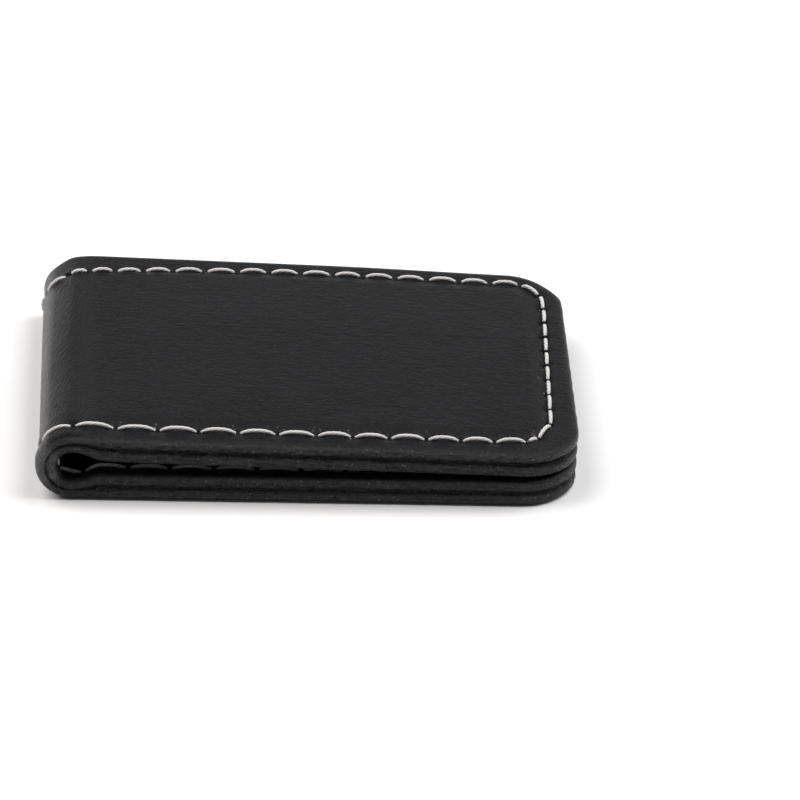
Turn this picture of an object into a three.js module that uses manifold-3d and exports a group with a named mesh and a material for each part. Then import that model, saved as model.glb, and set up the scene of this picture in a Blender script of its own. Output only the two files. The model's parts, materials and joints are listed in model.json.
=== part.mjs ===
// A leather money clip with magnets sewn into its two leaves.
//
// The clip is one strip: an outer cover leather and an inner lining leather, sewn together round
// their whole edge and folded in half. Each half, or leaf, has a stiffener board between the
// leathers, with two disc magnets in windows of the board. The leaves hinge on the fold, which
// here is a chain of five equal links, so that it unrolls as the leather does.
//
// Frame: millimetres, +X from the fold to the tip, +Z up, origin under the middle of the closed
// clip, on the surface that it lies on. The lower leaf lies flat and the upper leaf slopes down
// to the tip, as on a few folded notes.

import * as THREE from 'three';
import { mergeVertices } from 'three/addons/utils/BufferGeometryUtils.js';
import Module from 'manifold-3d';

const wasm = await Module();
wasm.setup();

// ---- Driving dimensions ----

const LENGTH = 61.4; // closed clip, fold to the lower leaf's tip
const WIDTH = 42.6;
const FOLD_RADIUS = 4.2; // outer face of the fold
const COVER = 1.2; // thickness of the outer leather
const LINING = 1.3; // thickness of the inner leather
const CORE = 0.8; // space between the leathers in a leaf, for the board and the magnets
const GLUE = 0.05; // glue line between neighbouring layers
const TIP_GAP = 0.2; // between the leaves at the tip
const CORNER_RADIUS = 6.5; // tip corners, seen from above

const BOARD_INSET = 1.2; // board's edge to the leather's edge
const MAGNET_RADIUS = 6;
const MAGNET_TO_TIP = 13;
const MAGNET_SPACING = 19; // between the two magnets of a leaf
const WINDOW_CLEARANCE = 0.25; // round each magnet

const SEAM_INSET = 2.8; // thread to the leather's edge
const THREAD_RADIUS = 0.25;
const CHANNEL_WIDTH = 0.8; // groove that the thread lies in
const CHANNEL_DEPTH = 0.55;
const THREAD_DEPTH = 0.27; // thread's middle below the leather's face

const LINKS = 5; // links between the two leaves
const LINK_GAP = 0.06; // between neighbouring links
const RAMP_START = 0.3; // where the lining starts to rise over the board, from the fold's centre
const RAMP_END = 3.3;

// ---- Worked out from them ----

const LEAF_LENGTH = LENGTH - FOLD_RADIUS;
const LEAF_THICKNESS = COVER + CORE + LINING;
const FOLD_GAP = 2 * (FOLD_RADIUS - LEAF_THICKNESS); // between the leaves where they leave the fold
const SLOPE = Math.atan((FOLD_GAP - TIP_GAP) / LEAF_LENGTH);
const LINK_ANGLE = (Math.PI + SLOPE) / (LINKS + 1);
const HALF_LINK = LINK_ANGLE / 2;
const HINGE_RADIUS = FOLD_RADIUS - COVER / 2; // the hinge lines run along the cover's mid layer
const TOOTH = HINGE_RADIUS * Math.sin(HALF_LINK) - LINK_GAP / 2; // half width of a link outside them
const FOLD_LINING_DEPTH = COVER + GLUE; // outer face of the lining in the fold
const FOLD_DEPTH = COVER + LINING; // inner face of the lining in the fold
const UPPER_TIP = LEAF_LENGTH * Math.cos(SLOPE) + FOLD_RADIUS * Math.sin(SLOPE);
const SEAM_Y = WIDTH / 2 - SEAM_INSET;
const ARC_STEPS = 4; // per half link
const CLEAR = 0.1; // how far a cutter stands past the face that it cuts
const FOLD_SIDE = 3; // how far the plan outlines run past the fold's centre

// ---- Materials ----

const leather = new THREE.MeshStandardMaterial({ color: 0x2a2a2c, roughness: 0.55, metalness: 0 });
const innerLeather = new THREE.MeshStandardMaterial({ color: 0x262425, roughness: 0.65, metalness: 0 });
const thread = new THREE.MeshStandardMaterial({ color: 0xe4e2de, roughness: 0.6, metalness: 0 });
const board = new THREE.MeshStandardMaterial({ color: 0x8a6f4e, roughness: 0.9, metalness: 0 });
const nickel = new THREE.MeshStandardMaterial({ color: 0xc4c6c9, roughness: 0.25, metalness: 1 });

// ---- Solids ----

function solid(geometry) {
  const bare = geometry.clone();
  bare.deleteAttribute('normal');
  bare.deleteAttribute('uv');
  const merged = mergeVertices(bare, 1e-4);
  return new wasm.Manifold(new wasm.Mesh({
    numProp: 3,
    vertProperties: merged.attributes.position.array,
    triVerts: merged.index.array,
  }));
}

function geometryOf(manifold) {
  const { vertProperties, triVerts } = manifold.getMesh();
  const geometry = new THREE.BufferGeometry();
  geometry.setAttribute('position', new THREE.BufferAttribute(vertProperties, 3));
  geometry.setIndex(new THREE.BufferAttribute(triVerts, 1));
  geometry.computeVertexNormals();
  return geometry;
}

// A point in a fold frame's x-z plane: the origin is the fold's centre, and angles run from
// straight down towards the fold's outside.
function polar(radius, angle) {
  return new THREE.Vector2(-radius * Math.sin(angle), -radius * Math.cos(angle));
}

function arc(radius, from, to, steps = ARC_STEPS) {
  return Array.from({ length: steps + 1 }, (_, i) => polar(radius, from + ((to - from) * i) / steps));
}

// A point of a leaf at x, a depth below its outer face.
function below(x, depth) {
  return new THREE.Vector2(x, depth - FOLD_RADIUS);
}

// The side view made of these points, extruded across the clip from y = -width/2 to width/2.
function sheet(points, width = WIDTH, y = 0) {
  const geometry = new THREE.ExtrudeGeometry(new THREE.Shape(points), { depth: width, bevelEnabled: false });
  geometry.rotateX(Math.PI / 2);
  geometry.translate(0, y + width / 2, 0);
  return solid(geometry);
}

// A leaf's outline seen from above, moved in by inset, as a prism between two depths.
function plan(inset, { from = -CLEAR, to = LEAF_THICKNESS + CLEAR, foldSide = -FOLD_SIDE } = {}) {
  const radius = CORNER_RADIUS - inset;
  const right = LEAF_LENGTH - inset;
  const side = WIDTH / 2 - inset;
  const shape = new THREE.Shape();
  shape.moveTo(foldSide, -side);
  shape.lineTo(right - radius, -side);
  shape.absarc(right - radius, radius - side, radius, -Math.PI / 2, 0);
  shape.absarc(right - radius, side - radius, radius, 0, Math.PI / 2);
  shape.lineTo(foldSide, side);
  const settings = { depth: to - from, bevelEnabled: false, curveSegments: 10 };
  const geometry = new THREE.ExtrudeGeometry(shape, settings);
  geometry.translate(0, 0, from - FOLD_RADIUS);
  return solid(geometry);
}

// The U-shaped band along the seam that the thread's groove is cut in.
function seamBand() {
  const outer = plan(SEAM_INSET - CHANNEL_WIDTH / 2, { from: -2 * CLEAR });
  const inner = plan(SEAM_INSET + CHANNEL_WIDTH / 2, { from: -3 * CLEAR, to: LEAF_THICKNESS + 3 * CLEAR,
    foldSide: -FOLD_SIDE - 1 });
  return outer.subtract(inner);
}

// ---- Side views of the leathers ----

// The end face of a piece at a hinge. Outside the hinge line it is square to the leather, so that
// neighbours close up when the clip lies open flat, and inside it is radial.
function coverFlank() {
  const gap = LINK_GAP / 2;
  return [
    new THREE.Vector2(-TOOTH, -HINGE_RADIUS * Math.cos(HALF_LINK)),
    polar(FOLD_RADIUS - COVER, HALF_LINK - gap / (FOLD_RADIUS - COVER)),
  ];
}

const toothAngle = (radius) => Math.asin(TOOTH / radius);
const flankAngle = (radius) => HALF_LINK - LINK_GAP / 2 / radius;

function mirrored(points) {
  return points.map((p) => new THREE.Vector2(-p.x, p.y)).reverse();
}

function coverLinkProfile() {
  const inner = FOLD_RADIUS - COVER;
  return [
    ...arc(FOLD_RADIUS, -toothAngle(FOLD_RADIUS), toothAngle(FOLD_RADIUS), 2 * ARC_STEPS),
    ...coverFlank(),
    ...arc(inner, flankAngle(inner), -flankAngle(inner), 2 * ARC_STEPS).slice(1, -1),
    ...mirrored(coverFlank()),
  ];
}

function coverLeafProfile() {
  return [
    below(LEAF_LENGTH, 0),
    ...arc(FOLD_RADIUS, 0, toothAngle(FOLD_RADIUS)),
    ...coverFlank(),
    ...arc(FOLD_RADIUS - COVER, flankAngle(FOLD_RADIUS - COVER), 0).slice(1),
    below(LEAF_LENGTH, COVER),
  ];
}

function liningLinkProfile() {
  const outer = FOLD_RADIUS - FOLD_LINING_DEPTH;
  const inner = FOLD_RADIUS - FOLD_DEPTH;
  return [
    ...arc(outer, -flankAngle(outer), flankAngle(outer), 2 * ARC_STEPS),
    ...arc(inner, flankAngle(inner), -flankAngle(inner), 2 * ARC_STEPS),
  ];
}

// The depth of a lining face along the leaf, which eases from the fold's value to the leaf's.
function ramp(foldDepth, leafDepth, steps = 8) {
  return Array.from({ length: steps + 1 }, (_, i) => {
    const share = i / steps;
    const ease = share * share * (3 - 2 * share);
    return below(RAMP_START + share * (RAMP_END - RAMP_START), foldDepth + ease * (leafDepth - foldDepth));
  });
}

function liningLeafProfile() {
  const outer = FOLD_RADIUS - FOLD_LINING_DEPTH;
  const inner = FOLD_RADIUS - FOLD_DEPTH;
  return [
    below(LEAF_LENGTH, COVER + CORE),
    ...ramp(FOLD_LINING_DEPTH, COVER + CORE).reverse(),
    ...arc(outer, 0, flankAngle(outer)),
    ...arc(inner, flankAngle(inner), 0),
    ...ramp(FOLD_DEPTH, LEAF_THICKNESS),
    below(LEAF_LENGTH, LEAF_THICKNESS),
  ];
}

// ---- Grooves for the threads ----

function coverChannelProfile(from) {
  return [
    ...arc(FOLD_RADIUS + CLEAR, from, LINK_ANGLE, 2 * ARC_STEPS),
    ...arc(FOLD_RADIUS - CHANNEL_DEPTH, LINK_ANGLE, from, 2 * ARC_STEPS),
  ];
}

function liningChannelProfile(from) {
  const inner = FOLD_RADIUS - FOLD_DEPTH;
  return [
    ...arc(inner + CHANNEL_DEPTH, from, LINK_ANGLE, 2 * ARC_STEPS),
    ...arc(inner - CLEAR, LINK_ANGLE, from, 2 * ARC_STEPS),
  ];
}

function withLinkChannels(body, channelProfile) {
  const cut = (y) => sheet(channelProfile(-LINK_ANGLE), CHANNEL_WIDTH, y);
  return body.subtract(cut(SEAM_Y)).subtract(cut(-SEAM_Y));
}

// ---- Pieces of the fold, round the fold's centre and facing straight down ----

function coverLink() {
  return geometryOf(withLinkChannels(sheet(coverLinkProfile()), coverChannelProfile));
}

function liningLink() {
  return geometryOf(withLinkChannels(sheet(liningLinkProfile()), liningChannelProfile));
}

function tube(path, steps) {
  const section = new THREE.Shape();
  section.absarc(0, 0, THREAD_RADIUS, 0, 2 * Math.PI);
  const settings = { steps, curveSegments: 3, extrudePath: path, bevelEnabled: false };
  return new THREE.ExtrudeGeometry(section, settings);
}

// A cubic curve along a circular arc in the fold's side view, at a distance y across the clip.
function foldArc(radius, from, to, y) {
  const handle = ((4 / 3) * Math.tan((to - from) / 4)) * radius;
  const start = polar(radius, from);
  const end = polar(radius, to);
  const corners = [
    start,
    new THREE.Vector2(start.x - handle * Math.cos(from), start.y + handle * Math.sin(from)),
    new THREE.Vector2(end.x + handle * Math.cos(to), end.y - handle * Math.sin(to)),
    end,
  ];
  return new THREE.CubicBezierCurve3(...corners.map((p) => new THREE.Vector3(p.x, y, p.y)));
}

function linkThread(radius, reach, y) {
  return tube(foldArc(radius, -reach, reach, y), 4);
}

// ---- Pieces of a leaf, in the same frame: the leaf lies below the fold's centre ----

function coverLeaf() {
  const channel = sheet([
    below(LEAF_LENGTH + CLEAR, -CLEAR),
    ...coverChannelProfile(0),
    below(LEAF_LENGTH + CLEAR, CHANNEL_DEPTH),
  ]).intersect(seamBand());
  return geometryOf(sheet(coverLeafProfile()).intersect(plan(0)).subtract(channel));
}

function liningLeaf() {
  const channel = sheet([
    below(LEAF_LENGTH + CLEAR, LEAF_THICKNESS - CHANNEL_DEPTH),
    ...ramp(FOLD_DEPTH - CHANNEL_DEPTH, LEAF_THICKNESS - CHANNEL_DEPTH).reverse(),
    ...liningChannelProfile(0),
    ...ramp(FOLD_DEPTH + CLEAR, LEAF_THICKNESS + CLEAR),
    below(LEAF_LENGTH + CLEAR, LEAF_THICKNESS + CLEAR),
  ]).intersect(seamBand());
  return geometryOf(sheet(liningLeafProfile()).intersect(plan(0)).subtract(channel));
}

function disc(radius, height, y) {
  const geometry = new THREE.CylinderGeometry(radius, radius, height, 32);
  geometry.rotateX(Math.PI / 2);
  geometry.translate(LEAF_LENGTH - MAGNET_TO_TIP, y, COVER + CORE / 2 - FOLD_RADIUS);
  return geometry;
}

function stiffener() {
  const window = (y) => solid(disc(MAGNET_RADIUS + WINDOW_CLEARANCE, CORE, y));
  const blank = plan(BOARD_INSET, { from: COVER + GLUE, to: COVER + CORE - GLUE, foldSide: RAMP_END });
  return geometryOf(blank.subtract(window(MAGNET_SPACING / 2)).subtract(window(-MAGNET_SPACING / 2)));
}

function magnet(y) {
  return disc(MAGNET_RADIUS, CORE - 2 * GLUE, y);
}

// A thread's line along one leaf: round the fold's first stretch, along one side, round the tip
// and back. The lining's thread climbs the ramp as its leather does.
function leafThread(foldRadius, reach, leafDepth) {
  const z = leafDepth - FOLD_RADIUS;
  const radius = CORNER_RADIUS - SEAM_INSET;
  const right = LEAF_LENGTH - SEAM_INSET;
  const bend = 0.5523 * radius; // handle of a cubic quarter circle
  const rampHandle = (RAMP_END - RAMP_START) / 3;
  const at = (x, y, height = z) => new THREE.Vector3(x, y, height);
  const path = new THREE.CurvePath();
  const half = (y) => [
    foldArc(foldRadius, reach, 0, y),
    new THREE.LineCurve3(at(0, y, -foldRadius), at(RAMP_START, y, -foldRadius)),
    new THREE.CubicBezierCurve3(at(RAMP_START, y, -foldRadius), at(RAMP_START + rampHandle, y, -foldRadius),
      at(RAMP_END - rampHandle, y), at(RAMP_END, y)),
    new THREE.LineCurve3(at(RAMP_END, y), at(right - radius, y)),
  ];
  const back = (curve) => (curve.isLineCurve3
    ? new THREE.LineCurve3(curve.v2, curve.v1)
    : new THREE.CubicBezierCurve3(curve.v3, curve.v2, curve.v1, curve.v0));
  half(-SEAM_Y).forEach((curve) => path.add(curve));
  path.add(new THREE.CubicBezierCurve3(at(right - radius, -SEAM_Y), at(right - radius + bend, -SEAM_Y),
    at(right, radius - bend - SEAM_Y), at(right, radius - SEAM_Y)));
  path.add(new THREE.LineCurve3(at(right, radius - SEAM_Y), at(right, SEAM_Y - radius)));
  path.add(new THREE.CubicBezierCurve3(at(right, SEAM_Y - radius), at(right, SEAM_Y - radius + bend),
    at(right - radius + bend, SEAM_Y), at(right - radius, SEAM_Y)));
  half(SEAM_Y).reverse().forEach((curve) => path.add(back(curve)));
  return tube(path, 110);
}

// ---- Assembly ----

const needleRadius = FOLD_RADIUS - THREAD_DEPTH;
const needleReach = toothAngle(FOLD_RADIUS) - LINK_GAP / FOLD_RADIUS;
const bobbinRadius = FOLD_RADIUS - FOLD_DEPTH + THREAD_DEPTH;
const bobbinReach = flankAngle(FOLD_RADIUS - FOLD_DEPTH) - LINK_GAP / bobbinRadius;

function put(group, name, geometry, material) {
  const mesh = new THREE.Mesh(geometry, material);
  mesh.name = name;
  group.add(mesh);
}

// Turned over for the upper leaf, near and far change places.
function addLeaf(group, leaf, sides) {
  put(group, `cover_${leaf}`, coverLeaf(), leather);
  put(group, `lining_${leaf}`, liningLeaf(), innerLeather);
  put(group, `board_${leaf}`, stiffener(), board);
  put(group, `magnet_${leaf}_${sides[0]}`, magnet(-MAGNET_SPACING / 2), nickel);
  put(group, `magnet_${leaf}_${sides[1]}`, magnet(MAGNET_SPACING / 2), nickel);
  put(group, `needle_thread_${leaf}`, leafThread(needleRadius, needleReach, THREAD_DEPTH), thread);
  const bobbinThread = leafThread(bobbinRadius, bobbinReach, LEAF_THICKNESS - THREAD_DEPTH);
  put(group, `bobbin_thread_${leaf}`, bobbinThread, thread);
}

function addLink(group, number) {
  put(group, `cover_fold_${number}`, coverLink(), leather);
  put(group, `lining_fold_${number}`, liningLink(), innerLeather);
  for (const [side, y] of [['near', -SEAM_Y], ['far', SEAM_Y]]) {
    put(group, `needle_thread_fold_${number}_${side}`, linkThread(needleRadius, needleReach, y), thread);
    put(group, `bobbin_thread_fold_${number}_${side}`, linkThread(bobbinRadius, bobbinReach, y), thread);
  }
}

const clip = new THREE.Group();
clip.position.set((FOLD_RADIUS - UPPER_TIP) / 2, 0, FOLD_RADIUS);

const lowerLeaf = new THREE.Group();
addLeaf(lowerLeaf, 'lower', ['near', 'far']);
clip.add(lowerLeaf);

for (let number = 1; number <= LINKS; number += 1) {
  const link = new THREE.Group();
  link.rotation.y = number * LINK_ANGLE;
  addLink(link, number);
  clip.add(link);
}

// The upper leaf is the lower one turned over about the line that halves the fold.
const upperLeaf = new THREE.Group();
const foldBisector = new THREE.Vector3(Math.cos(SLOPE / 2), 0, -Math.sin(SLOPE / 2));
upperLeaf.quaternion.setFromAxisAngle(foldBisector, Math.PI);
addLeaf(upperLeaf, 'upper', ['far', 'near']);
clip.add(upperLeaf);

// The clip's own frame, with its origin under the middle, is the parent of the fold's frame.
const root = new THREE.Group();
root.add(clip);

export default root;
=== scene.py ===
"""A folded leather money clip with magnets sewn into its leaves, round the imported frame.

The cover, the lining and their threads are laid out flat, in the strip's own coordinates, and
then bent round the fold. These are in millimetres: s runs along the strip from the lower tip,
over the fold, to the upper tip; y runs across it; t runs in through it from the outer face.
"""
import json
import math

import bpy
import numpy as np
from mathutils import Matrix, Vector


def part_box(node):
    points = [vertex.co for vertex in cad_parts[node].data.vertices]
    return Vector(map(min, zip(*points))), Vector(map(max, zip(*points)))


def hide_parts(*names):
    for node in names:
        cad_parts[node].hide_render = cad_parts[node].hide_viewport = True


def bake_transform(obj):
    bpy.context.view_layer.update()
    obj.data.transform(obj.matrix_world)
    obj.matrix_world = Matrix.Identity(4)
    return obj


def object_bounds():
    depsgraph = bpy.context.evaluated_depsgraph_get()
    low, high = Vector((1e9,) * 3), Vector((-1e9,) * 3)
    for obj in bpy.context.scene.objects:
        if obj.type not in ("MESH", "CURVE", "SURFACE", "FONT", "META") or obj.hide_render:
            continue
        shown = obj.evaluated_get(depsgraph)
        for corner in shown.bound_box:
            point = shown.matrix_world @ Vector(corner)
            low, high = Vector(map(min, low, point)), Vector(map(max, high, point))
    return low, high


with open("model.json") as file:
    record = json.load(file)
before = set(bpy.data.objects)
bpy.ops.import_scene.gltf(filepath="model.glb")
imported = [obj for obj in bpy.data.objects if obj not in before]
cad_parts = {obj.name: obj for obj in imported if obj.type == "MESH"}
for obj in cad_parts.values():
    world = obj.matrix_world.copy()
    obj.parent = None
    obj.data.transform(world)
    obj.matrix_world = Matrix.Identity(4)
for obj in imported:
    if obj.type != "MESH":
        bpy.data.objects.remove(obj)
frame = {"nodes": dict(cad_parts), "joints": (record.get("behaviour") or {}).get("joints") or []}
CAD_LOW, CAD_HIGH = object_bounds()

MM = 0.001
rng = np.random.default_rng(11)

# ---- Sizes from the frame ----

JOINTS = frame["joints"]
LINK_ANGLE = math.radians(JOINTS[0]["range_deg"][1])
FOLD_ANGLE = LINK_ANGLE * len(JOINTS)
SLOPE = FOLD_ANGLE - math.pi  # the upper leaf's, down towards its tip
FOLD_RADIUS = (CAD_HIGH.z - CAD_LOW.z) / 2 / MM
WIDTH = (CAD_HIGH.y - CAD_LOW.y) / MM
FOLD_X = CAD_LOW.x / MM + FOLD_RADIUS
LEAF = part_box("cover_lower")[1].x / MM - FOLD_X
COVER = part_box("board_lower")[0].z / MM - 0.05
LEAF_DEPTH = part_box("lining_lower")[1].z / MM  # inner face of the lining in a leaf
FOLD_DEPTH = 2.5  # and in the fold
LINING = 1.24
HINGE_RADIUS = math.hypot(JOINTS[0]["pos_m"][0] / MM - FOLD_X, JOINTS[0]["pos_m"][2] / MM - FOLD_RADIUS)
FOLD_LENGTH = HINGE_RADIUS * FOLD_ANGLE
STRIP = 2 * LEAF + FOLD_LENGTH

# ---- Sizes of the look ----

CORNER = 6.5  # radius of the tip corners
RAMP = (0.3, 3.3)  # where the lining rises over the board, from the fold's centre
WAIST = 0.6  # how much the fold is drawn in, past the flare at its near end
SETTLE = 0.2  # how far the upper leaf dips on its near side where it leaves the fold
DROOP = 0.3  # how far it hangs at its far corner
SLUMP = 0.55  # how far the fold's top sinks at its far end
CORNER_CUT = 0.3  # how far the upper far corner is trimmed inside its arc
NEAR_SEAM, FAR_SEAM, TIP_SEAM = 2.5, 3.5, 2.75  # from the outline to the seam
NEAR_STITCH, FAR_STITCH, LOWER_STITCH = 3.62, 3.75, 3.6  # lengths of a stitch
TIP_STITCHES = 9
HOLE_GAP = 0.3  # from the middle of a needle hole to where its thread shows
THREAD_RADIUS = 0.22
NEEDLE_HEIGHT = 0.27  # of a stitch's middle line over the cover's plain face, halfway along it
NEEDLE_HOLE = -0.42  # and where it goes down its holes
BOBBIN_HEIGHT, BOBBIN_HOLE = -0.12, -0.6  # the same over the lining's face
PLIES = 3
TWIST = 1.9  # length of one whole turn of the plies
UNDER_RADIUS = 0.34  # of a leather's hidden corner, between its cut edge and its back

BAND = 5.0  # width of the border that is meshed in rings
COLUMN_STEP = 0.3
RING_STEP = 0.15
THREAD_SIDES = 18
THREAD_STEPS = 34  # along one stitch

BLACK_COVER = (0.0082, 0.0082, 0.0093, 1)
BLACK_LINING = (0.0090, 0.0088, 0.0090, 1)
EDGE_PAINT = (0.0080, 0.0080, 0.0085, 1)
RAW_FIBRE = (0.045, 0.044, 0.043, 1)
# Light specks by the needle holes and on the cut edges: painted highlights.
PAINTED_HIGHLIGHT = (0.34, 0.32, 0.31, 1)
THREAD_WHITE = (0.70, 0.69, 0.68, 1)
# The thread's colour in the valleys between its plies: painted shade.
THREAD_PAINTED_SHADE = (0.34, 0.33, 0.325, 1)
THREAD_FIBRE = (0.52, 0.50, 0.48, 1)


def smoothstep(x):
    x = np.clip(x, 0, 1)
    return x * x * (3 - 2 * x)


def bell(x, width):
    return np.exp(-((x / width) ** 2))


# ---- The strip's shape ----


def leaf_distance(s):
    """Distance along a leaf from the fold; negative in the fold."""
    return np.maximum(LEAF - s, s - LEAF - FOLD_LENGTH)


def inner_depth(s):
    """Depth of the lining's inner face."""
    rise = smoothstep((leaf_distance(s) - RAMP[0]) / (RAMP[1] - RAMP[0]))
    return FOLD_DEPTH + rise * (LEAF_DEPTH - FOLD_DEPTH)


def half_gap(s):
    """Half the space between the two leathers."""
    return (inner_depth(s) - LINING - COVER) / 2


def pinch(s, y):
    """How far the fold is drawn in: least at its flared near end, most at the top of its far end."""
    angle = np.clip((s - LEAF) / HINGE_RADIUS, 0, FOLD_ANGLE)
    across = smoothstep((y + WIDTH / 2 - 0.5) / 6) * (1 - 0.25 * smoothstep((y - WIDTH / 2 + 6) / 6))
    waist = WAIST * across * np.clip(np.sin(np.pi * angle / FOLD_ANGLE), 0, 1) ** 1.5
    top = LEAF + 0.82 * FOLD_LENGTH
    return waist + SLUMP * smoothstep(2 * y / WIDTH) * bell(s - top, 2.3)


def settle(along, y):
    """How far the upper leaf is below its flat plane, at a distance from the fold."""
    across = np.clip(y / WIDTH + 0.5, 0, 1)
    near = SETTLE * smoothstep(along / 6) * (1 - smoothstep((along - 6) / 36))
    far = DROOP * smoothstep((along - 30) / 24)
    return near * (1 - across) + far * across


def headroom(s):
    """How far the outer face may stand out before it meets the table, up to 1 mm."""
    angle = np.clip((s - LEAF) / HINGE_RADIUS, 0, 0.65)
    return np.minimum(FOLD_RADIUS * (1 / np.cos(angle) - 1), 1)


def place(s, y, t):
    """Frame points, in millimetres, of strip coordinates."""
    s, y, t = np.broadcast_arrays(*(np.asarray(v, float) for v in (s, y, t)))
    angle = np.clip((s - LEAF) / HINGE_RADIUS, 0, FOLD_ANGLE)
    along_lower = np.maximum(LEAF - s, 0)
    along_upper = np.maximum(s - LEAF - FOLD_LENGTH, 0)
    radius = FOLD_RADIUS - t - pinch(s, y) - settle(along_upper, y)
    x = FOLD_X - radius * np.sin(angle) + along_lower + along_upper * math.cos(SLOPE)
    z = FOLD_RADIUS - radius * np.cos(angle) - along_upper * math.sin(SLOPE)
    return np.stack([x, y, z], -1)


# ---- The mesh of columns round the outline and rings in from it ----


def spread(start, end, step):
    count = max(2, math.ceil(abs(end - start) / step) + 1)
    return np.linspace(start, end, count)


STATIONS = [LEAF + HINGE_RADIUS * LINK_ANGLE * k for k in range(1, len(JOINTS))]


def side_positions():
    """Columns along a straight side, close together at the stations where pieces meet."""
    close = [0.02, 0.08]
    stops = [CORNER]
    for station in STATIONS:
        stops += [station - d for d in reversed(close)] + [station] + [station + d for d in close]
    stops.append(STRIP - CORNER)
    runs = [spread(a, b, COLUMN_STEP)[:-1] for a, b in zip(stops, stops[1:])]
    return np.concatenate(runs + [[STRIP - CORNER]])


def corner(centre, start_deg, end_deg, cut=0.0, steps=13):
    """Outline points and inward directions along half a corner."""
    angle = np.radians(np.linspace(start_deg, end_deg, steps))
    out = np.stack([np.cos(angle), np.sin(angle)], 1)
    reach = CORNER - cut * np.sin(2 * angle) ** 2 * (1 + 0.6 * np.cos(2 * angle))
    return centre + reach[:, None] * out, -out


def straight(points, inward):
    points = np.asarray(points, float)
    return points, np.broadcast_to(np.array(inward, float), points.shape)


def joined(parts):
    """Parts end to end, each sharing its first point with the last of the one before."""
    points = [parts[0][0]] + [p[1:] for p, _ in parts[1:]]
    inward = [parts[0][1]] + [n[1:] for _, n in parts[1:]]
    return np.concatenate(points), np.concatenate(inward)


HALF = WIDTH / 2
SIDE = side_positions()
ENDS = spread(CORNER - HALF, HALF - CORNER, COLUMN_STEP)
NEAR_LOW = np.array([CORNER, CORNER - HALF])
NEAR_UP = np.array([STRIP - CORNER, CORNER - HALF])

near_side = joined([
    corner(NEAR_LOW, 225, 270),
    straight([(s, -HALF) for s in SIDE], (0, 1)),
    corner(NEAR_UP, 270, 315),
])
upper_tip = joined([
    corner(NEAR_UP, 315, 360),
    straight([(STRIP, y) for y in ENDS], (-1, 0)),
    corner(NEAR_UP * (1, -1), 0, 45, CORNER_CUT),
])
far_side = joined([
    corner(NEAR_UP * (1, -1), 45, 90, CORNER_CUT),
    straight([(s, HALF) for s in SIDE[::-1]], (0, -1)),
    corner(NEAR_LOW * (1, -1), 90, 135),
])
lower_tip = joined([
    corner(NEAR_LOW * (1, -1), 135, 180),
    straight([(0, y) for y in ENDS[::-1]], (1, 0)),
    corner(NEAR_LOW, 180, 225),
])
OUTLINE, INWARD = (a[:-1] for a in joined([near_side, upper_tip, far_side, lower_tip]))
COLUMNS = len(OUTLINE)
N_SIDE, N_END = len(near_side[0]), len(upper_tip[0])

# ---- The seam ----


def seam_insets():
    """Distance of the seam from the outline at each column, before the stitches straighten it."""
    s, y = OUTLINE[:, 0], OUTLINE[:, 1]
    along = smoothstep((s - LEAF - FOLD_LENGTH) / 25)
    far = FAR_SEAM - 0.7 * along + 1.15 * np.exp(-np.maximum(leaf_distance(s), 0) / 10)
    tip = TIP_SEAM - 0.03 * y * (s > STRIP / 2)
    inset = np.where(y < 0, NEAR_SEAM, far)
    to_tip = np.minimum(s, STRIP - s)
    share = smoothstep((to_tip - 1.5) / 7)
    return tip + share * (inset - tip)


def arc_lengths(points):
    """Distance round the closed loop at each point, and the whole length."""
    steps = np.linalg.norm(np.roll(points, -1, 0) - points, axis=1)
    return np.concatenate([[0], np.cumsum(steps[:-1])]), steps.sum()


first_seam = OUTLINE + INWARD * seam_insets()[:, None]
SEAM_AT, SEAM_TOTAL = arc_lengths(place(first_seam[:, 0], first_seam[:, 1], 0))


def on_seam(at):
    """Strip coordinates of points at these distances round the seam."""
    at = np.asarray(at) % SEAM_TOTAL
    known = np.append(SEAM_AT, SEAM_TOTAL)
    loop = np.vstack([first_seam, first_seam[:1]])
    return np.stack([np.interp(at, known, loop[:, k]) for k in (0, 1)], 1)


def seam_near(point):
    """Distance round the seam of its point closest to a strip point."""
    return SEAM_AT[np.argmin(np.linalg.norm(first_seam - point, axis=1))]


def near_pitch(step):
    """Length of a stitch on the near side, counted from the upper tip: longer towards the fold."""
    return NEAR_STITCH + 0.117 * min(step, 11) + 0.13 * math.cos(math.pi * step / 12)


def far_pitch(step):
    """Length of a stitch on the far side, counted from the upper tip: shorter round the fold."""
    shorter = 0.72 * float(smoothstep((step - 10) / 3) - smoothstep((step - 15) / 4))
    at_fold = {14: -0.5, 15: 0.6}.get(step, 0)  # the last stitch of the leaf is short, the next long
    return FAR_STITCH - shorter + at_fold


def hole_places():
    """Distances round the seam of the needle holes, a little uneven, as a hand guides the stitches."""
    near_corner = seam_near((STRIP - 6.0, 2.7 - HALF))
    far_corner = seam_near((STRIP - 5.0, HALF - 3.4))
    lower_far = seam_near((6.0, HALF - 3.2))
    lower_near = seam_near((6.0, 2.7 - HALF))
    holes = [near_corner]
    step = 0
    while holes[0] > lower_near + 2.2:
        holes.insert(0, holes[0] - near_pitch(step))
        step += 1
    holes += [near_corner + 1.5, near_corner + 5.3]  # one very short stitch, and one round the corner
    last_tip = far_corner - 3.4
    holes += list(np.linspace(holes[-1], last_tip, TIP_STITCHES + 1)[1:]) + [far_corner]
    step = 0
    while holes[-1] < lower_far - 2.2:
        holes.append(holes[-1] + far_pitch(step))
        step += 1
    room = holes[0] + SEAM_TOTAL - holes[-1]
    count = round(room / LOWER_STITCH)
    holes += [holes[-1] + room * k / count for k in range(1, count)]
    holes = np.array(holes)
    return holes + rng.normal(0, 0.06, len(holes))


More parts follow.
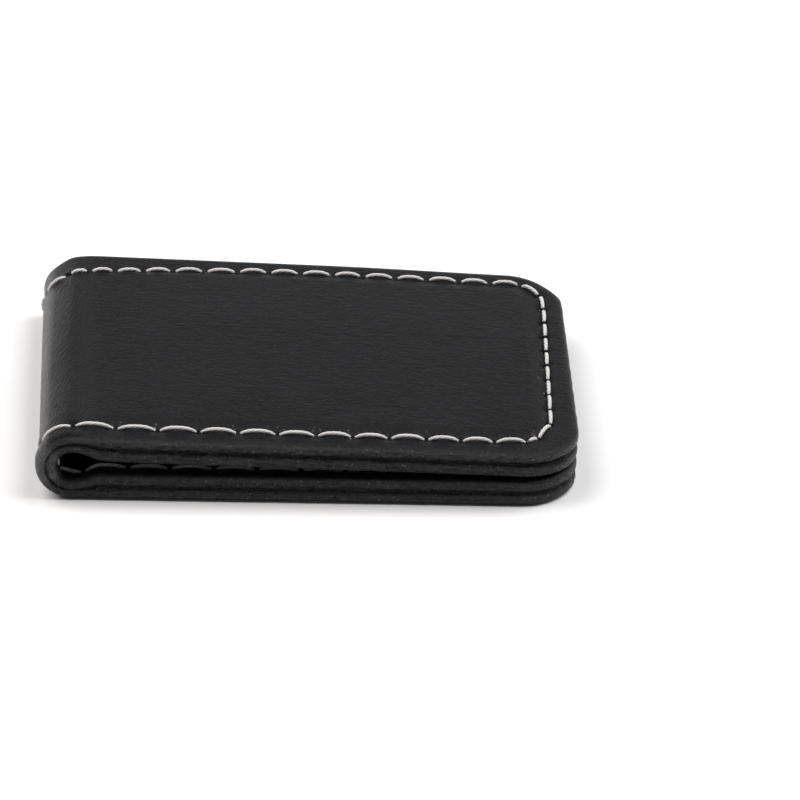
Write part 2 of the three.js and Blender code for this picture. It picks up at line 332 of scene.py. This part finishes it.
HOLES = hole_places()
HOLE_POINTS = on_seam(HOLES)
NEXT_HOLE = np.roll(HOLE_POINTS, -1, 0)
STITCHES = len(HOLES)


def cross(a, b):
    return a[:, 0] * b[:, 1] - a[:, 1] * b[:, 0]


def seam_at_columns():
    """For each column: the seam's inset, the share along its stitch, how near a hole is, and the stitch."""
    at = np.where(SEAM_AT < HOLES[0], SEAM_AT + SEAM_TOTAL, SEAM_AT)
    stitch = np.searchsorted(HOLES, at, side="right") - 1
    ends = np.append(HOLES, HOLES[0] + SEAM_TOTAL)
    share = (at - ends[stitch]) / (ends[stitch + 1] - ends[stitch])
    to_hole = np.minimum(at - ends[stitch], ends[stitch + 1] - at)
    start = HOLE_POINTS[stitch] - OUTLINE
    edge = NEXT_HOLE[stitch] - HOLE_POINTS[stitch]
    inset = cross(start, edge) / cross(INWARD, edge)
    return inset, share, to_hole, stitch


SEAM_INSET, STITCH_SHARE, TO_HOLE, STITCH_OF = seam_at_columns()
HOLE_DEPTH = rng.uniform(0.8, 1.25, STITCHES)

# ---- Unevenness of the leather ----


def waves(count, shortest, longest, seed):
    """A smooth random field over the strip, of sines of many directions, between about -1 and 1."""
    draw = np.random.default_rng(seed)
    length = np.exp(draw.uniform(math.log(shortest), math.log(longest), count))
    direction = draw.uniform(0, 2 * math.pi, count)
    phase = draw.uniform(0, 2 * math.pi, count)
    weight = length / length.sum() * 2

    def field(s, y):
        total = 0
        for size, turn, start, share in zip(length, direction, phase, weight):
            ahead = s * math.cos(turn) + y * math.sin(turn)
            total = total + share * np.sin(2 * np.pi * ahead / size + start)
        return total

    return field


SWELL = waves(14, 7, 26, 3)
RIPPLE = waves(30, 0.7, 2.4, 5)


def seam_relief(ring_inset, style):
    """How far the leather's face stands out at each ring and column, for its seam."""
    out = ring_inset - SEAM_INSET[None, :]
    lift = 4 * STITCH_SHARE * (1 - STITCH_SHARE) * headroom(OUTLINE[:, 0])
    depth = HOLE_DEPTH[STITCH_OF][None, :]
    pit = style["pit"] * depth * bell(np.hypot(out - 0.12, TO_HOLE[None, :]), 0.44)
    return style["lift"] * bell(out, 0.8) * lift[None, :] - style["valley"] * bell(out, 0.6) - pit


# ---- The leathers ----


def profile(thickness, style):
    """Rings in from the visible face, over its shoulder, down the cut edge and back under.

    Each is (inset, depth, edge share, fill). Fill is the share of the way to the other leather:
    beyond the board, the two are glued to each other.
    """
    shoulder, drop = style["shoulder"]
    rings = [(d, 0.0, 0.0, 0.0) for d in np.arange(BAND, shoulder, -RING_STEP)]
    for angle in np.radians(np.linspace(0, 90, 11)):
        edge = smoothstep(angle * 1.4 - 1.1)
        rings.append((shoulder * (1 - math.sin(angle)), drop * (1 - math.cos(angle)), edge, 0.0))
    turn_at = thickness - UNDER_RADIUS
    for share in np.linspace(0, 1, 5)[1:]:
        rings.append((0.0, drop + share * (turn_at - drop), 1.0, 0.18 * share))
    for angle in np.radians(np.linspace(0, 90, 6))[1:]:
        inset = UNDER_RADIUS * (1 - math.cos(angle))
        rings.append((inset, turn_at + UNDER_RADIUS * math.sin(angle), 1.0, 0.18 + 0.37 * math.sin(angle)))
    # The back: pressed on the other leather beside the board, then apart to make room for it.
    rings += [(0.44, thickness, 1.0, 0.80), (0.58, thickness, 1.0, 0.95), (1.1, thickness, 1.0, 0.97)]
    rings += [(1.2, thickness, 1.0, 0.0), (BAND, thickness, 0.0, 0.0)]
    return [tuple(map(float, ring)) for ring in rings]


def interior_points():
    """Strip points of the face inside the band, on a grid whose border is the innermost ring."""
    ring = OUTLINE + INWARD * BAND
    near = ring[:N_SIDE]
    up = ring[N_SIDE - 1 : N_SIDE + N_END - 1]
    far = ring[N_SIDE + N_END - 2 : 2 * N_SIDE + N_END - 2][::-1]
    low = np.vstack([ring[2 * N_SIDE + N_END - 3 :], ring[:1]])[::-1]
    v = np.linspace(0, 1, N_END)[None, :, None]
    across = (1 - v) * near[:, None] + v * far[:, None]
    reach = 16.0  # how far in the ends' own shape is felt
    from_low = smoothstep(1 - (near[:, 0] - near[0, 0]) / reach)[:, None, None]
    from_up = smoothstep(1 - (near[-1, 0] - near[:, 0]) / reach)[:, None, None]
    return across + from_low * (low[None] - across[:1]) + from_up * (up[None] - across[-1:])


class Leather:
    """One whole leather, as points with faces, ready to be cut into pieces."""

    def __init__(self, style, depth_of):
        """depth_of(s, w) turns a depth below the visible face into the strip's t."""
        self.style = style
        rings = profile(style["thickness"], style)
        inset, depth, edge, fill = (np.array(v) for v in zip(*rings))
        self.rings = len(rings)
        points = OUTLINE[None] + INWARD[None] * inset[:, None, None]
        s, y = points[..., 0], points[..., 1]
        face = (1 - edge)[:, None] * (depth < style["thickness"] / 2)[:, None]
        relief = face * (seam_relief(inset[:, None], style) + self.swell(s, y, inset[:, None]))
        ripple = RIPPLE(s + depth[:, None] * 2.3, y + depth[:, None] * 3.1)
        rough = edge[:, None] * style["edge_rough"] * ripple
        points = points - INWARD[None] * rough[..., None]
        w = depth[:, None] - relief + 0.5 * rough
        inner = interior_points()
        s_in, y_in = inner[..., 0], inner[..., 1]
        w_in = -self.swell(s_in, y_in, BAND)
        ring_s, ring_y = points[..., 0].ravel(), points[..., 1].ravel()
        keep = np.ones(s_in.shape, bool)
        keep[[0, -1], :] = False
        keep[:, [0, -1]] = False
        self.grid = np.full(s_in.shape, -1)
        self.grid[keep] = np.arange(keep.sum()) + self.rings * COLUMNS
        first = np.arange(COLUMNS)
        self.grid[:, 0] = first[:N_SIDE]
        self.grid[-1, :] = first[N_SIDE - 1 : N_SIDE + N_END - 1]
        self.grid[:, -1] = first[N_SIDE + N_END - 2 : 2 * N_SIDE + N_END - 2][::-1]
        self.grid[0, :] = np.append(first[2 * N_SIDE + N_END - 3 :], 0)[::-1]
        s_all = np.concatenate([ring_s, s_in[keep]])
        y_all = np.concatenate([ring_y, y_in[keep]])
        w_all = np.concatenate([w.ravel(), w_in[keep]])
        fill_all = np.concatenate([np.repeat(fill, COLUMNS), np.zeros(keep.sum())])
        closed = 1 - 0.45 * smoothstep((9 - STRIP + s_all) / 7)  # the edges part at the upper tip
        t_all = depth_of(s_all, w_all + fill_all * closed * half_gap(s_all))
        self.strip = np.stack([s_all, y_all, t_all], 1)
        out = inset[:, None] - SEAM_INSET[None]
        # Where the painted highlight specks go: on the face just inside the seam, beside each hole.
        by_hole = face * bell(out - 0.5, 0.8) * bell(TO_HOLE[None], 0.8)
        self.finish = np.zeros((len(s_all), 3))
        self.finish[:, 0] = np.concatenate([np.repeat(edge, COLUMNS), np.zeros(keep.sum())])
        self.finish[:, 2] = np.clip((fill_all - 0.4) * 2.2, 0, 1)
        self.finish[: by_hole.size, 1] = by_hole.ravel()
        self.points = place(s_all, y_all, t_all)
        self.faces = self.make_faces()

    def swell(self, s, y, inset):
        inside = smoothstep((inset - 3.0) / (BAND - 3.0))
        crown = self.style["crown"] * np.clip(np.cos(np.pi * y / WIDTH), 0, 1) * smoothstep((inset - 2.5) / 3)
        crown = crown * smoothstep((leaf_distance(s) - 1) / 12) * (s > STRIP / 2)
        uneven = self.style["swell"] * SWELL(s, y) * smoothstep(inset / 2)
        return self.style["pillow"] * inside + crown + uneven

    def ring(self, number):
        return number * COLUMNS + np.arange(COLUMNS)

    def make_faces(self):
        quads = []
        for r in range(self.rings - 1):
            inner, outer = self.ring(r), self.ring(r + 1)
            quads.append(np.stack([outer, np.roll(outer, -1), np.roll(inner, -1), inner], 1))
        g = self.grid
        quads.append(np.stack([g[:-1, :-1], g[1:, :-1], g[1:, 1:], g[:-1, 1:]], -1).reshape(-1, 4))
        last = self.ring(self.rings - 1)
        near = last[:N_SIDE]
        far = last[N_SIDE + N_END - 2 : 2 * N_SIDE + N_END - 2][::-1]
        quads.append(np.stack([near[:-1], far[:-1], far[1:], near[1:]], 1))
        faces = [list(map(int, q)) for q in np.concatenate(quads)]
        faces.append(list(map(int, last[N_SIDE - 1 : N_SIDE + N_END - 1][::-1])))
        faces.append(list(map(int, np.append(last[2 * N_SIDE + N_END - 3 :], last[0])[::-1])))
        if self.style["inward"]:
            faces = [f[::-1] for f in faces]
        return faces

    def section(self, station):
        """The vertices round the cross-section at a station, in order."""
        column = int(np.argmin(np.abs(OUTLINE[:N_SIDE, 0] - station)))
        opposite = 2 * N_SIDE + N_END - 3 - column
        down = [r * COLUMNS + column for r in range(self.rings)]
        up = [r * COLUMNS + opposite for r in reversed(range(self.rings))]
        across = [int(v) for v in self.grid[column, 1:-1][::-1]]
        return down + up + across

    def piece(self, number):
        """The faces between two stations, closed with a flat cap at each."""
        limits = [-1.0] + STATIONS + [STRIP + 1.0]
        low, high = limits[number], limits[number + 1]
        s = self.strip[:, 0]
        chosen = [f for f in self.faces if low < np.mean(s[f[: min(len(f), 4)]]) < high]
        caps = []
        for station, outward in ((low, -1), (high, 1)):
            if 0 < station < STRIP:
                loop = self.section(station)
                step = place(station + 0.1 * outward, 0, 2) - place(station, 0, 2)
                corners = self.points[loop]
                normal = np.cross(corners, np.roll(corners, -1, 0)).sum(0)
                caps.append(loop if normal @ step > 0 else loop[::-1])
        return chosen, caps


def build(name, points, strip, extra, faces, flat_faces):
    """A mesh object from millimetre points, with its strip coordinates kept for the materials."""
    all_faces = faces + flat_faces
    used = np.unique(np.concatenate([np.asarray(f) for f in all_faces]))
    index = np.full(len(points), -1)
    index[used] = np.arange(len(used))
    mesh = bpy.data.meshes.new(name)
    mesh.from_pydata((points[used] * MM).tolist(), [], [index[np.asarray(f)].tolist() for f in all_faces])
    smooth = np.ones(len(all_faces), bool)
    smooth[len(faces) :] = False
    mesh.polygons.foreach_set("use_smooth", smooth)
    for key, values in (("strip", strip), ("finish", extra)):
        attribute = mesh.attributes.new(key, "FLOAT_VECTOR", "POINT")
        attribute.data.foreach_set("vector", values[used].astype(np.float32).ravel())
    mesh.validate()
    made = bpy.data.objects.new(name, mesh)
    bpy.context.collection.objects.link(made)
    return made


def bend(piece):
    """Bakes a piece's transform into its mesh."""
    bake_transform(piece)


def stands_for(stem, number):
    """Each piece spans one hinge, and takes the place of the nodes of the link that comes after it; these are
    hidden.
    """
    nodes = [f"{stem}_lower"] if number == 0 else []
    if number < len(JOINTS) - 1:
        nodes.append(f"{stem}_fold_{number + 1}")
    else:
        nodes.append(f"{stem}_upper")
    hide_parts(*nodes)


PIECE_NAMES = ["lower", "fold_a", "fold_b", "fold_c", "fold_d", "upper"]

COVER_STYLE = {
    "thickness": COVER, "inward": False, "shoulder": (1.15, 0.55), "edge_rough": 0.07,
    "pillow": 0.16, "crown": 0.45, "swell": 0.035, "lift": 0.22, "valley": 0.26, "pit": 0.50,
}
LINING_STYLE = {
    "thickness": LINING, "inward": True, "shoulder": (0.9, 0.5), "edge_rough": 0.11,
    "pillow": 0.0, "crown": 0.0, "swell": 0.015, "lift": 0.08, "valley": 0.40, "pit": 0.25,
}


def make_leather(stem, style, depth_of, material):
    """Builds one leather in pieces."""
    leather = Leather(style, depth_of)
    for number, part in enumerate(PIECE_NAMES):
        faces, caps = leather.piece(number)
        made = build(f"{stem}_leather_{part}", leather.points, leather.strip, leather.finish, faces, caps)
        made.data.materials.append(material)
        bend(made)
        stands_for(stem, number)


def cover_depth(s, w):
    """The cover's face is its outer one, and doesn't go through the table."""
    return np.maximum(w, -headroom(s))


def lining_depth(s, w):
    """The lining's face is its inner one."""
    return inner_depth(s) - w


# ---- The threads ----


def stitch_path(start, end, share, ends_at, middle_at):
    """A stitch's middle line: straight between its holes, and up over the leather between them."""
    flat = start[None] * (1 - share[:, None]) + end[None] * share[:, None]
    height = ends_at + (middle_at - ends_at) * (1 - np.abs(2 * share - 1) ** 2.6)
    return flat, height


def needle_height(s, y):
    """Less in the fold, where the thread is pulled tight, above all on the near side."""
    in_fold = smoothstep((LEAF + FOLD_LENGTH + 1 - s) / 4) * smoothstep((s - LEAF + 1) / 4)
    return NEEDLE_HEIGHT - (0.3 if y < 0 else 0.05) * in_fold


def needle_depth(s, w):
    """Pressed level with the face where that lies on the table."""
    return np.maximum(w, 1.02 * THREAD_RADIUS - headroom(s))


class Threads:
    """All stitches of one thread, cut at the stations."""

    def __init__(self, depth_of, inward, ends_at, middle_at):
        """middle_at(s, y) is the height of a stitch's middle line over the plain face, halfway along it."""
        self.points = [[] for _ in PIECE_NAMES]
        self.coords = [[] for _ in PIECE_NAMES]
        self.extra = [[] for _ in PIECE_NAMES]
        self.faces = [[] for _ in PIECE_NAMES]
        self.caps = [[] for _ in PIECE_NAMES]
        self.count = [0] * len(PIECE_NAMES)
        draw = np.random.default_rng(21)
        for number in range(STITCHES):
            start, end = HOLE_POINTS[number], NEXT_HOLE[number]
            length = np.linalg.norm(end - start)
            middle = (start + end) / 2
            gap = (HOLE_GAP + 0.12 * (middle[1] > 0)) / length
            rise = (middle_at(*middle) - ends_at) * (1 if length > 2 else 0.7)
            height = ends_at + rise * draw.uniform(0.95, 1.05)
            twist_start = draw.uniform(0, TWIST)
            self.add(start, end, length, gap, ends_at, height, twist_start, depth_of, inward)

    def add(self, start, end, length, gap, ends_at, middle_at, twist_start, depth_of, inward):
        stops = [gap, 1 - gap]
        for station in STATIONS:
            share = (station - start[0]) / (end[0] - start[0]) if abs(end[0] - start[0]) > 1e-6 else -1
            if gap < share < 1 - gap:
                stops.append(float(share))
        stops = sorted(stops)
        for a, b in zip(stops, stops[1:]):
            share = np.linspace(a, b, max(3, round(THREAD_STEPS * (b - a)) + 2))
            self.stretch(start, end, share, length, ends_at, middle_at, twist_start, depth_of, inward)

    def stretch(self, start, end, share, length, ends_at, middle_at, twist_start, depth_of, inward):
        fine = 1e-3
        line = np.concatenate([share - fine, share + fine])
        flat, height = stitch_path(start, end, line, ends_at, middle_at)
        ends = place(flat[:, 0], flat[:, 1], depth_of(flat[:, 0], -height))
        half = len(share)
        tangent = ends[half:] - ends[:half]
        flat, height = stitch_path(start, end, share, ends_at, middle_at)
        depth = depth_of(flat[:, 0], -height)
        centres = place(flat[:, 0], flat[:, 1], depth)
        outer = place(flat[:, 0], flat[:, 1], depth - 0.1)
        ups = (outer - centres) * (-1 if inward else 1)
        radii = THREAD_RADIUS * (0.6 + 0.4 * (1 - np.abs(2 * share - 1) ** 4))
        rings, ply = ring_points(centres, tangent, ups, radii, share * length + twist_start)
        which = int(np.searchsorted(STATIONS, flat[:, 0].mean()))
        base = self.count[which]
        rows = len(share)
        index = base + np.arange(rows * THREAD_SIDES).reshape(rows, THREAD_SIDES)
        quads = np.stack([index[:-1], np.roll(index[:-1], -1, 1), np.roll(index[1:], -1, 1), index[1:]], -1)
        self.faces[which] += quads.reshape(-1, 4).tolist()
        self.caps[which] += [index[0][::-1].tolist(), index[-1].tolist()]
        self.points[which].append(rings.reshape(-1, 3))
        along = np.repeat((share * length + twist_start)[:, None], THREAD_SIDES, 1)
        turn = np.broadcast_to(np.linspace(0, 1, THREAD_SIDES, endpoint=False), along.shape)
        self.coords[which].append(np.stack([along, turn, np.full(along.shape, start[0])], -1).reshape(-1, 3))
        self.extra[which].append(np.stack([ply, ply * 0, ply * 0], -1).reshape(-1, 3))
        self.count[which] += rows * THREAD_SIDES


def ring_points(centres, tangent, ups, radii, along):
    """Points round the thread at each centre, and how near each of them is to the crest of a ply."""
    tangent = tangent / np.linalg.norm(tangent, axis=1)[:, None]
    side = np.cross(tangent, ups)
    side /= np.linalg.norm(side, axis=1)[:, None]
    up = np.cross(side, tangent)
    angle = np.linspace(0, 2 * math.pi, THREAD_SIDES, endpoint=False)
    ply = np.abs(np.cos(PLIES / 2 * (angle[None] - 2 * math.pi * along[:, None] / TWIST)))
    radius = radii[:, None] * (0.80 + 0.22 * np.sqrt(ply))
    around = np.cos(angle)[None, :, None] * side[:, None] + np.sin(angle)[None, :, None] * up[:, None]
    return centres[:, None] + radius[..., None] * around, ply


def make_threads(stem, threads, material):
    """Builds one thread in pieces."""
    for number, part in enumerate(PIECE_NAMES):
        points = np.concatenate(threads.points[number])
        coords = np.concatenate(threads.coords[number])
        extra = np.concatenate(threads.extra[number])
        faces, caps = threads.faces[number], threads.caps[number]
        made = build(f"{stem}_stitches_{part}", points, coords, extra, faces, caps)
        made.data.materials.append(material)
        bend(made)
        nodes = [f"{stem}_thread_lower"] if number == 0 else []
        if number < len(JOINTS) - 1:
            nodes += [f"{stem}_thread_fold_{number + 1}_{side}" for side in ("near", "far")]
        else:
            nodes.append(f"{stem}_thread_upper")
        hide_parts(*nodes)


# ---- Materials ----


class Shader:
    """A node material, with a short way to add and link nodes."""

    def __init__(self, name):
        self.material = bpy.data.materials.new(name)
        self.material.use_nodes = True
        self.tree = self.material.node_tree
        self.surface = next(n for n in self.tree.nodes if n.type == "BSDF_PRINCIPLED")

    def node(self, kind, inputs=None, **settings):
        made = self.tree.nodes.new(kind)
        for key, value in settings.items():
            setattr(made, key, value)
        for key, value in (inputs or {}).items():
            self.set(made.inputs[key], value)
        return made

    def set(self, socket, value):
        if isinstance(value, bpy.types.NodeSocket):
            self.tree.links.new(value, socket)
        else:
            socket.default_value = value

    def surface_is(self, **values):
        for key, value in values.items():
            self.set(self.surface.inputs[key.replace("_", " ")], value)

    def attribute(self, name):
        made = self.node("ShaderNodeAttribute", attribute_type="GEOMETRY", attribute_name=name)
        return made.outputs["Vector"]

    def axis(self, vector, name):
        return self.node("ShaderNodeSeparateXYZ", {"Vector": vector}).outputs[name]

    def math(self, operation, *values, clamp=False):
        made = self.node("ShaderNodeMath", operation=operation, use_clamp=clamp)
        for socket, value in zip(made.inputs, values):
            self.set(socket, value)
        return made.outputs[0]

    def turned(self, vector, size, turn=0.0):
        """Coordinates for a pattern this large along x, y and z, turned about z by an angle in degrees."""
        return self.node("ShaderNodeMapping", {
            "Vector": vector, "Scale": size, "Rotation": (0, 0, math.radians(turn)),
        }, vector_type="TEXTURE").outputs[0]

    def noise(self, vector, scale, detail=4.0, roughness=0.55):
        inputs = {"Vector": vector, "Scale": scale, "Detail": detail, "Roughness": roughness}
        return self.node("ShaderNodeTexNoise", inputs).outputs["Fac"]

    def cells(self, vector, scale, feature="SMOOTH_F1"):
        made = self.node("ShaderNodeTexVoronoi", {"Vector": vector, "Scale": scale}, feature=feature)
        return made.outputs["Distance"]

    def ramp(self, value, low, high, to_low=0.0, to_high=1.0):
        return self.node("ShaderNodeMapRange", {
            "Value": value, "From Min": low, "From Max": high, "To Min": to_low, "To Max": to_high,
        }, interpolation_type="SMOOTHSTEP").outputs[0]

    def blend(self, share, first, second):
        made = self.node("ShaderNodeMix", data_type="RGBA")
        for socket, value in zip([made.inputs[0], made.inputs[6], made.inputs[7]], [share, first, second]):
            self.set(socket, value)
        return made.outputs[2]

    def bump(self, height, distance, strength=1.0, below=None):
        inputs = {"Height": height, "Distance": distance, "Strength": strength}
        if below is not None:
            inputs["Normal"] = below
        return self.node("ShaderNodeBump", inputs).outputs[0]


def leather_material(name, base, crease):
    """Smooth black leather: pores, faint wrinkles, creases gathered at the fold, a painted edge, and painted
    highlight specks by the needle holes and on the edge.
    """
    m = Shader(name)
    strip = m.attribute("strip")
    finish = m.node("ShaderNodeSeparateXYZ", {"Vector": m.attribute("finish")})
    edge, by_hole, fibre = finish.outputs
    along = m.axis(strip, "X")
    from_fold = m.math("ABSOLUTE", m.math("SUBTRACT", along, STRIP / 2))
    fold = m.ramp(from_fold, FOLD_LENGTH / 2 + 5, FOLD_LENGTH / 2 - 3)
    on_face = m.math("SUBTRACT", 1.0, edge)
    pores = m.cells(strip, 3.2)
    grain = m.noise(strip, 4.5, 4.0, 0.6)
    folds = m.cells(m.turned(strip, (1.1, 0.55, 1.0), -10), 1.0)
    lines = m.noise(m.turned(strip, (1.3, 0.6, 1.0), -14), 1.0, 3.0)
    wrinkles = m.math("MULTIPLY_ADD", folds, 0.5, lines)
    hatch = m.noise(m.turned(strip, (0.17, 1.0, 1.0), -32), 1.0, 2.0)
    cross_hatch = m.noise(m.turned(strip, (0.24, 0.6, 1.0), 40), 1.0, 2.0)
    creases = m.math("MULTIPLY_ADD", cross_hatch, 0.5, hatch)
    paint = m.noise(strip, 3.5, 6.0, 0.7)
    normal = m.bump(m.math("ADD", pores, grain), 0.0001, 0.7)
    normal = m.bump(wrinkles, 0.0003, m.math("MULTIPLY", on_face, 0.35), normal)
    normal = m.bump(creases, 0.0011, m.math("MULTIPLY", fold, crease), normal)
    normal = m.bump(paint, 0.0010, edge, normal)
    cloud = m.noise(strip, 0.16, 3.0)
    lighter = tuple(c * 1.2 for c in base[:3]) + (1,)
    colour = m.blend(m.ramp(cloud, 0.35, 0.65), base, lighter)
    colour = m.blend(m.math("MULTIPLY", edge, 0.9), colour, EDGE_PAINT)
    colour = m.blend(fibre, colour, RAW_FIBRE)
    # Light specks on the face beside each needle hole and on the cut edge: painted highlights of the wrinkled
    # leather and the edge paint.
    specks = m.ramp(m.cells(strip, 1.9, "F1"), 0.26, 0.10)
    highlight_specks = m.math("MULTIPLY", specks, m.ramp(m.noise(strip, 1.1), 0.45, 0.55))
    painted_highlight_mask = m.math("MULTIPLY", highlight_specks, m.math("MULTIPLY_ADD", edge, 0.5, by_hole), clamp=True)
    colour = m.blend(painted_highlight_mask, colour, PAINTED_HIGHLIGHT)
    wear = m.math("MULTIPLY_ADD", m.ramp(cloud, 0.3, 0.7), 0.06, m.ramp(grain, 0.3, 0.7, 0.28, 0.36))
    edge_rough = m.ramp(paint, 0.35, 0.65, 0.18, 0.5)
    rough = m.math("MULTIPLY_ADD", m.math("SUBTRACT", edge_rough, wear), edge, wear)
    rubbed = m.ramp(from_fold, 0.30 * FOLD_LENGTH, 0.14 * FOLD_LENGTH)
    polish = m.math("MULTIPLY_ADD", edge, 0.4, m.math("MULTIPLY_ADD", rubbed, 0.88, 0.12))
    m.surface_is(Base_Color=colour, Roughness=rough, Normal=normal, Specular_IOR_Level=polish)
    return m.material


def thread_material():
    """Waxed white thread, with fine fibres that follow the twist, and painted shade in the valleys between
    its plies.
    """
    m = Shader("white_thread")
    coords = m.attribute("strip")
    ply = m.axis(m.attribute("finish"), "X")
    fibres = m.noise(m.turned(coords, (0.11, 0.025, 1.0), 10), 1.0, 3.0)
    # Darker in the valleys between the plies: painted shade.
    colour = m.blend(m.ramp(ply, 0.05, 0.6), THREAD_PAINTED_SHADE, THREAD_WHITE)
    colour = m.blend(m.ramp(fibres, 0.35, 0.65, 0.0, 0.22), colour, THREAD_FIBRE)
    normal = m.bump(fibres, 0.00003, 0.6)
    m.surface_is(Base_Color=colour, Roughness=0.62, Normal=normal, Sheen_Weight=0.15)
    return m.material


def board_material():
    """Fibreboard, coloured near-black as painted shade, seen only deep in the groove between the leathers."""
    m = Shader("fibreboard_painted_groove_shade")
    place_at = m.node("ShaderNodeTexCoord").outputs["Object"]
    fibre = m.noise(m.turned(place_at, (0.0008, 0.0008, 0.0002)), 1.0, 5.0, 0.65)
    # The near-black colour is painted shade for the dark groove.
    colour = m.blend(fibre, (0.012, 0.011, 0.010, 1), (0.035, 0.031, 0.028, 1))
    m.surface_is(Base_Color=colour, Roughness=0.9, Normal=m.bump(fibre, 0.00006, 0.7))
    return m.material


def nickel_material():
    """Nickel plate, with fine scuffs."""
    m = Shader("nickel_plate")
    place_at = m.node("ShaderNodeTexCoord").outputs["Object"]
    scuff = m.noise(m.turned(place_at, (0.0011, 0.0004, 0.0011)), 1.0, 6.0, 0.7)
    rough = m.ramp(scuff, 0.35, 0.7, 0.16, 0.38)
    normal = m.bump(scuff, 0.00001, 0.4)
    m.surface_is(Base_Color=(0.62, 0.61, 0.58, 1), Metallic=1.0, Roughness=rough, Normal=normal)
    return m.material


def give(stem, material):
    for name, node in frame["nodes"].items():
        if name.startswith(stem):
            node.data.materials.clear()
            node.data.materials.append(material)


# ---- Camera, floor and light ----


def make_camera():
    """The viewing angle: a long lens, slightly left of the clip's middle, from 30 degrees above."""
    target = np.array([0, 0, 4.0])
    yaw, pitch, roll = math.radians(-2.539), math.radians(29.924), math.radians(2.229)
    distance, focal = 665.17, 259.0272  # in millimetres, both
    aside, above = 0.016691, -0.003729  # tangents of how far the clip is off the lens's axis
    ahead = np.array([-math.sin(yaw) * math.cos(pitch), math.cos(yaw) * math.cos(pitch), -math.sin(pitch)])
    level = np.array([math.cos(yaw), math.sin(yaw), 0])
    upward = np.cross(level, ahead)
    right = math.cos(roll) * level + math.sin(roll) * upward
    up = math.cos(roll) * upward - math.sin(roll) * level
    at = target - ahead * distance
    look = ahead + aside * right + above * up
    look /= np.linalg.norm(look)
    right = np.cross(look, up)
    right /= np.linalg.norm(right)
    up = np.cross(right, look)
    data = bpy.data.cameras.new("camera")
    data.lens = focal
    data.sensor_width = 36
    data.clip_start, data.clip_end = 0.05, 20
    camera = bpy.data.objects.new("camera", data)
    turn = Matrix(np.stack([right, up, -look], 1).tolist()).to_4x4()
    camera.matrix_world = Matrix.Translation(Vector(at * MM)) @ turn
    bpy.context.collection.objects.link(camera)
    bpy.context.scene.camera = camera


def make_floor():
    size, top = 3.0, CAD_LOW.z - 0.00003
    corners = [(-size, -size, top), (size, -size, top), (size, size, top), (-size, size, top)]
    mesh = bpy.data.meshes.new("floor")
    mesh.from_pydata(corners, [], [(0, 1, 2, 3)])
    floor = bpy.data.objects.new("floor", mesh)
    bpy.context.collection.objects.link(floor)
    m = Shader("pale_floor")
    m.surface_is(Base_Color=(0.93, 0.93, 0.93, 1), Roughness=0.9, Specular_IOR_Level=0.1)
    mesh.materials.append(m.material)


def softbox(name, at, size, power, colour=(1, 1, 1)):
    data = bpy.data.lights.new(name, "AREA")
    data.shape = "RECTANGLE"
    data.size, data.size_y = size
    data.energy = power
    data.color = colour
    lamp = bpy.data.objects.new(name, data)
    lamp.location = at
    lamp.rotation_euler = (-Vector(at)).to_track_quat("-Z", "Y").to_euler()
    bpy.context.collection.objects.link(lamp)


def make_light():
    world = bpy.data.worlds.new("studio")
    world.use_nodes = True
    background = world.node_tree.nodes["Background"]
    background.inputs["Color"].default_value = (1, 1, 1, 1)
    background.inputs["Strength"].default_value = 0.12
    bpy.context.scene.world = world
    softbox("left", (-0.45, 0.08, 0.65), (0.6, 0.7), 5.5, (1, 0.97, 0.96))
    softbox("right", (0.45, 0.08, 0.65), (0.6, 0.7), 6.0)
    softbox("back", (0, 0.28, 0.08), (0.7, 0.05), 0.12)
    softbox("left_back", (-0.45, 0.85, 0.08), (0.4, 0.15), 0.22, (1, 0.91, 0.88))


# ---- Assembly ----

make_camera()
make_floor()
make_light()

cover_leather = leather_material("black_cover_leather", BLACK_COVER, 1.0)
lining_leather = leather_material("black_lining_leather", BLACK_LINING, 0.5)
white_thread = thread_material()
give("board", board_material())
give("magnet", nickel_material())

make_leather("cover", COVER_STYLE, cover_depth, cover_leather)
make_leather("lining", LINING_STYLE, lining_depth, lining_leather)

needle = Threads(needle_depth, False, NEEDLE_HOLE, needle_height)
bobbin = Threads(lining_depth, True, BOBBIN_HOLE, lambda s, y: BOBBIN_HEIGHT)
make_threads("needle", needle, white_thread)
make_threads("bobbin", bobbin, white_thread)

bpy.context.scene.view_settings.view_transform = "Standard"
